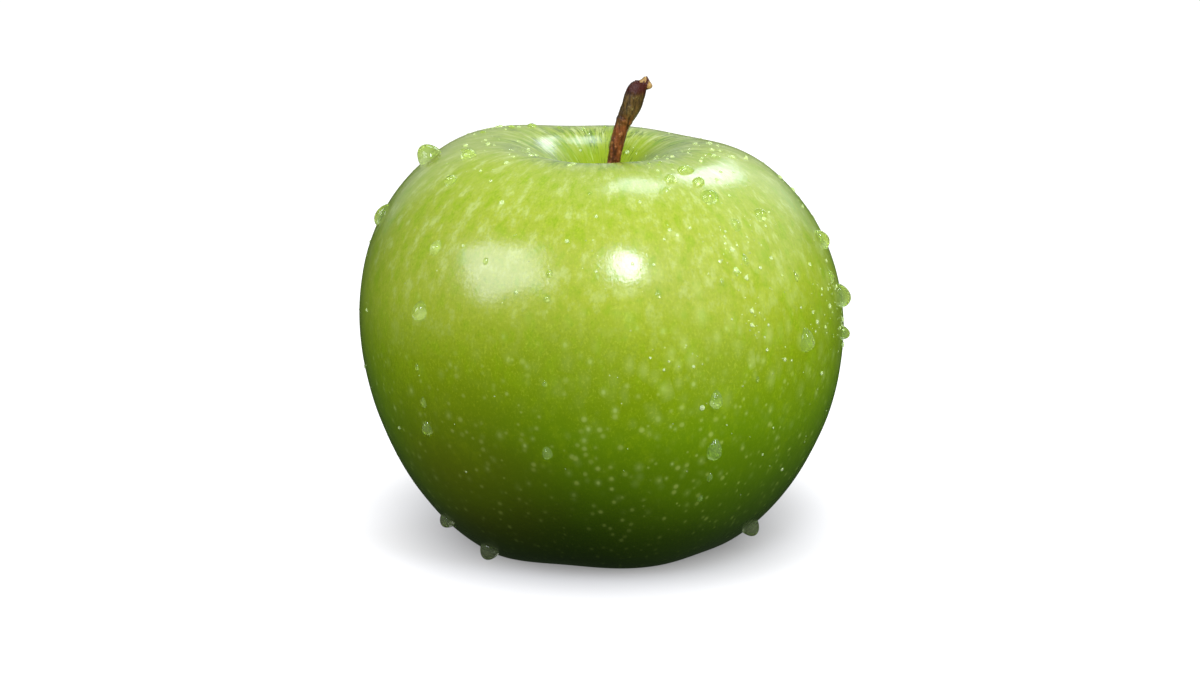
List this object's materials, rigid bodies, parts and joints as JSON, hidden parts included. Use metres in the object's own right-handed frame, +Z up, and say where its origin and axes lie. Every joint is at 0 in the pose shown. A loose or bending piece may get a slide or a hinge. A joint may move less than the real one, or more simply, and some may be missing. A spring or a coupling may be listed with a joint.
{
  "type": "apple",
  "caption": "Whole green eating apple standing on its base, with a leaning woody stem, dried calyx in the lower basin and water beads on its glossy skin.",
  "frame": {"origin": "on the surface that the apple stands on, under the middle of its bounding box", "axes": "+Z up from the calyx basin to the stem, front facing -Y, +X to the right, the side that the stem leans to"},
  "size_m": [0.082, 0.082, 0.0786],
  "materials": {
    "skin": "glossy waxy green skin, paler round the stem, darker at the base, with pale pores",
    "bark": "satin reddish brown to olive bark, pale splintered end",
    "dried_calyx": "dry dull brown",
    "water": "clear water"
  },
  "bodies": {
    "root": {"fruit": "skin", "stem": "bark", "sepal_1": "dried_calyx", "sepal_2": "dried_calyx", "sepal_3": "dried_calyx", "sepal_4": "dried_calyx", "sepal_5": "dried_calyx", "stamen_tuft": "dried_calyx", "water_bead_01": "water", "water_bead_02": "water", "water_bead_03": "water", "water_bead_04": "water", "water_bead_05": "water", "water_bead_06": "water", "water_bead_07": "water", "water_bead_08": "water", "water_bead_09": "water", "water_bead_10": "water", "water_bead_11": "water", "water_bead_12": "water", "water_bead_13": "water", "water_bead_14": "water", "water_bead_15": "water", "water_bead_16": "water", "water_bead_17": "water", "water_bead_18": "water", "water_bead_19": "water", "water_bead_20": "water", "water_bead_21": "water", "water_bead_22": "water", "water_bead_23": "water", "water_bead_24": "water", "water_bead_25": "water", "water_bead_26": "water", "water_bead_27": "water", "water_bead_28": "water", "water_bead_29": "water", "water_bead_30": "water"}
  },
  "joints": []
}
